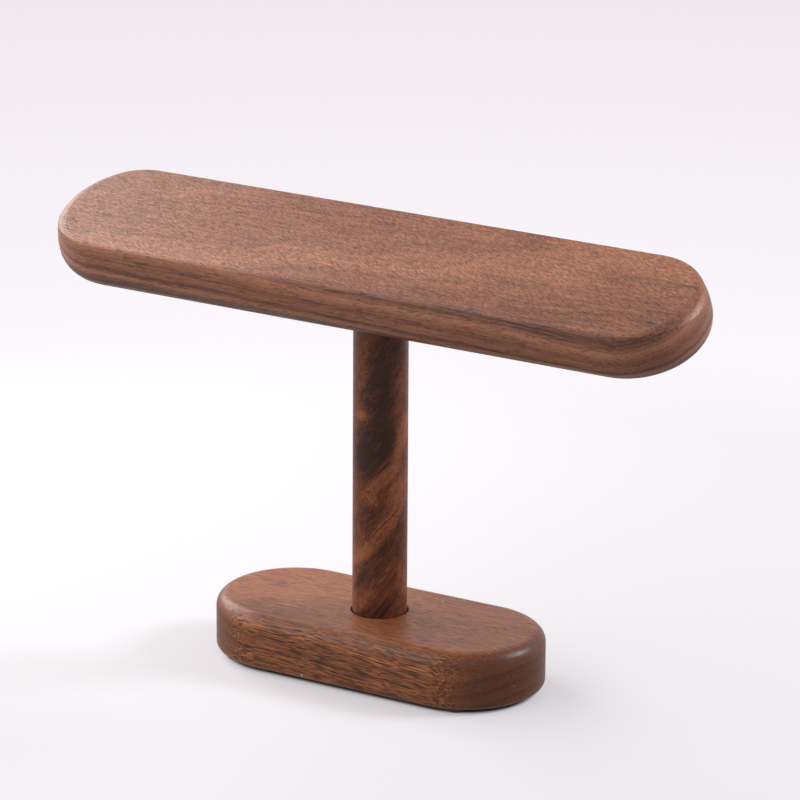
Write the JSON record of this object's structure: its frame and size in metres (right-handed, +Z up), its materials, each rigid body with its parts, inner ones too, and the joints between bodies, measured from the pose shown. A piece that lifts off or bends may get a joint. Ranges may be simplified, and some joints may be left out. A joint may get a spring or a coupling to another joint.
{
  "type": "jewelry organizer",
  "caption": "Walnut jewelry organizer: a tilted bar with bowed sides and round ends on a round post, plugged into a stadium-shaped base that stands on small pads.",
  "frame": {"origin": "on the floor under the post's axis, at the undersides of the pads", "axes": "+X along the bar to the right, +Z up along the post, -Y the front, which the bar's face tilts towards"},
  "size_m": [0.302, 0.0688, 0.1951],
  "materials": {
    "walnut_bar": "oiled walnut, satin, with fine dark pores along the bar",
    "walnut_post": "oiled walnut, satin, darker, with figured grain",
    "walnut_base": "oiled walnut, satin, with dark pores along the base",
    "zinc_steel": "zinc-plated",
    "brass": "plain turned",
    "pad": "matt dark brown"
  },
  "bodies": {
    "root": {"bar": "walnut_bar", "post": "walnut_post", "base": "walnut_base", "base_screw": "zinc_steel", "hanger_bolt": "zinc_steel", "threaded_insert": "brass", "foot_front_left": "pad", "foot_front_right": "pad", "foot_back_left": "pad", "foot_back_right": "pad"}
  },
  "joints": []
}
